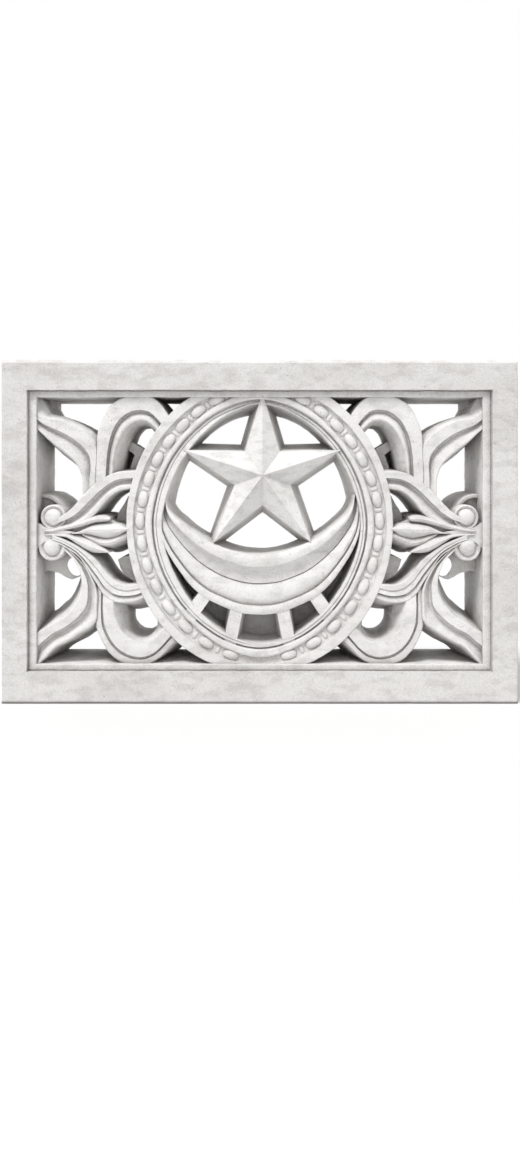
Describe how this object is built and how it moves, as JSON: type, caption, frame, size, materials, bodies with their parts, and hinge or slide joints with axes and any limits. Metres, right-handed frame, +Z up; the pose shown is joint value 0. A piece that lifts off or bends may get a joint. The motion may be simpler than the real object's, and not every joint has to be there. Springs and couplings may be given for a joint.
{
  "type": "jali screen panel",
  "caption": "Pierced cast-stone screen panel with a plain frame, a star and crescent in a beaded oval ring, and mirrored leaf scrolls.",
  "frame": {"origin": "centre of the underside", "axes": "+X along the panel's length to the right of a viewer facing the carved side, -Y out of the carved side, +Z up"},
  "size_m": [0.6, 0.1, 0.4],
  "materials": {
    "stone": "matte"
  },
  "bodies": {
    "root": {"screen_panel": "stone"}
  },
  "joints": []
}
